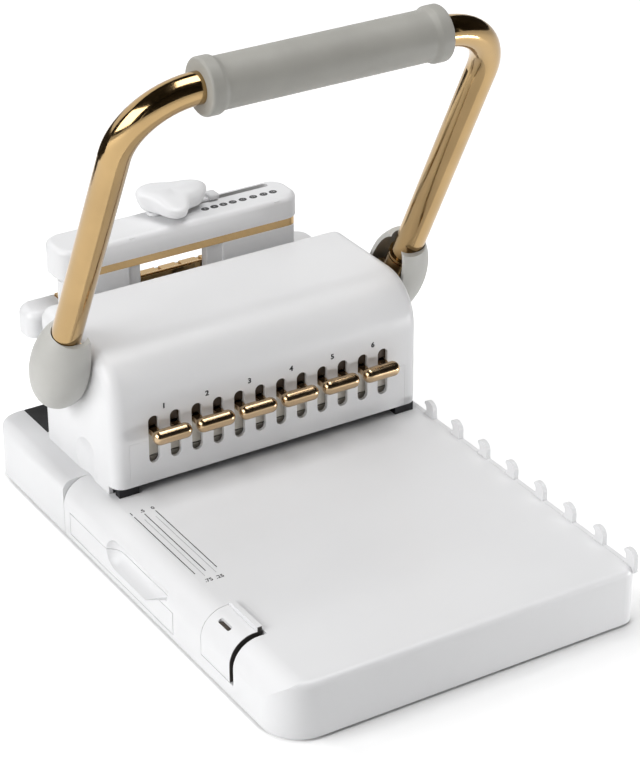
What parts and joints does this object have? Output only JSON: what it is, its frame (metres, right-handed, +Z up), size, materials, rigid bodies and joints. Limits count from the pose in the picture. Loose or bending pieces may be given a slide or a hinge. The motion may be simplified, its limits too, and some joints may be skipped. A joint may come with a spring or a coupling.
{
  "type": "comb binding machine",
  "caption": "Desktop punch-and-bind machine with a lever handle, selectable punch pins, a paper platform with wire hooks, a chip drawer and a rear wire-closing jaw.",
  "frame": {"origin": "on the table under the middle of the whole object's box", "axes": "+X to the right as seen from the paper platform, +Y from the platform towards the rear wire closer, +Z up"},
  "size_m": [0.2364, 0.3122, 0.2877],
  "materials": {
    "white_plastic": "satin moulded white",
    "warm_grey_plastic": "soft matte warm grey",
    "grey_plastic": "matte grey",
    "gold_metal": "polished gold plating",
    "black_steel": "blackened",
    "black_rubber": "matte",
    "plated_steel": "zinc plated",
    "bright_steel": "ground bright",
    "bronze": "sintered bronze"
  },
  "bodies": {
    "base": {"platform_cover": "white_plastic", "rear_cover": "white_plastic", "rear_mat": "black_rubber", "bottom_plate": "grey_plastic", "feet": "black_rubber", "base_screws": "bright_steel", "hook_rail": "white_plastic", "head_cover": "white_plastic", "front_panel": "white_plastic", "side_frame_left": "plated_steel", "side_frame_right": "plated_steel", "shaft_bushes": "bronze", "frame_ties": "plated_steel", "die_plate": "black_steel", "stripper_plate": "black_steel", "back_stop": "black_steel", "throat_blocks": "black_steel", "guide_rods": "bright_steel", "rod_brackets": "plated_steel", "return_springs": "bright_steel", "frame_screws": "bright_steel", "closer_frame": "white_plastic", "upper_jaw_plate": "gold_metal", "top_bar": "white_plastic", "bar_screws": "bright_steel", "jaw_posts": "bright_steel", "guide_buffer": "black_rubber", "slot_screen": "grey_plastic"},
    "handle": {"main_shaft": "bright_steel", "punch_cranks": "plated_steel", "jaw_cranks": "plated_steel", "crank_rollers": "bright_steel", "handle_tube": "gold_metal", "grip": "warm_grey_plastic", "crank_hub_left": "gold_metal", "crank_hub_right": "gold_metal", "pivot_cap_left": "warm_grey_plastic", "pivot_cap_right": "warm_grey_plastic", "cap_screws": "bright_steel"},
    "carriage": {"punch_carriage": "plated_steel", "slot_apron": "grey_plastic", "punches": "bright_steel", "yoke_forks": "plated_steel"},
    "jaw": {"lower_jaw_bar": "white_plastic", "lower_jaw_plate": "gold_metal", "jaw_lifters": "plated_steel"},
    "size_stop": {"size_slider": "grey_plastic"},
    "size_wing": {"size_knob": "white_plastic"},
    "guide": {"edge_guide": "white_plastic", "guide_rails": "grey_plastic"},
    "drawer": {"chip_drawer": "grey_plastic", "drawer_front": "white_plastic"},
    "selector_body_1": {"selector_1": "gold_metal"},
    "selector_body_2": {"selector_2": "gold_metal"},
    "selector_body_3": {"selector_3": "gold_metal"},
    "selector_body_4": {"selector_4": "gold_metal"},
    "selector_body_5": {"selector_5": "gold_metal"},
    "selector_body_6": {"selector_6": "gold_metal"}
  },
  "joints": [
    {"name": "handle_swing", "type": "hinge", "parent": "base", "child": "handle", "pos_m": [0, 0.076, 0.095], "axis": [1, 0, 0], "range_deg": [0, 62], "stiffness_Nm_per_rad": 1.2, "springref_deg": -22.92},
    {"name": "punch_slide", "type": "slide", "parent": "base", "child": "carriage", "axis": [0, 0, -1], "range_m": [0, 0.0144], "deforming": ["return_springs"]},
    {"name": "jaw_lift", "type": "slide", "parent": "base", "child": "jaw", "axis": [0, 0, 1], "range_m": [0, 0.0108]},
    {"name": "size_slide", "type": "slide", "parent": "base", "child": "size_stop", "axis": [1, 0, 0], "range_m": [-0.007, 0.059]},
    {"name": "size_turn", "type": "hinge", "parent": "size_stop", "child": "size_wing", "pos_m": [0.002, 0.1472, 0.138], "axis": [0, 0, 1], "range_deg": [-35, 55]},
    {"name": "guide_slide", "type": "slide", "parent": "base", "child": "guide", "axis": [-1, 0, 0], "range_m": [0, 0.022]},
    {"name": "drawer_slide", "type": "slide", "parent": "base", "child": "drawer", "axis": [-1, 0, 0], "range_m": [0, 0.12]},
    {"name": "selector_1_pull", "type": "slide", "parent": "carriage", "child": "selector_body_1", "axis": [0, -1, 0], "range_m": [0, 0.0065]},
    {"name": "selector_2_pull", "type": "slide", "parent": "carriage", "child": "selector_body_2", "axis": [0, -1, 0], "range_m": [0, 0.0065]},
    {"name": "selector_3_pull", "type": "slide", "parent": "carriage", "child": "selector_body_3", "axis": [0, -1, 0], "range_m": [0, 0.0065]},
    {"name": "selector_4_pull", "type": "slide", "parent": "carriage", "child": "selector_body_4", "axis": [0, -1, 0], "range_m": [0, 0.0065]},
    {"name": "selector_5_pull", "type": "slide", "parent": "carriage", "child": "selector_body_5", "axis": [0, -1, 0], "range_m": [0, 0.0065]},
    {"name": "selector_6_pull", "type": "slide", "parent": "carriage", "child": "selector_body_6", "axis": [0, -1, 0], "range_m": [0, 0.0065]}
  ],
  "couplings": [
    {"joint": "punch_slide", "follows": "handle_swing", "m_per_rad": 0.013305},
    {"joint": "jaw_lift", "follows": "handle_swing", "m_per_rad": 0.009979}
  ]
}
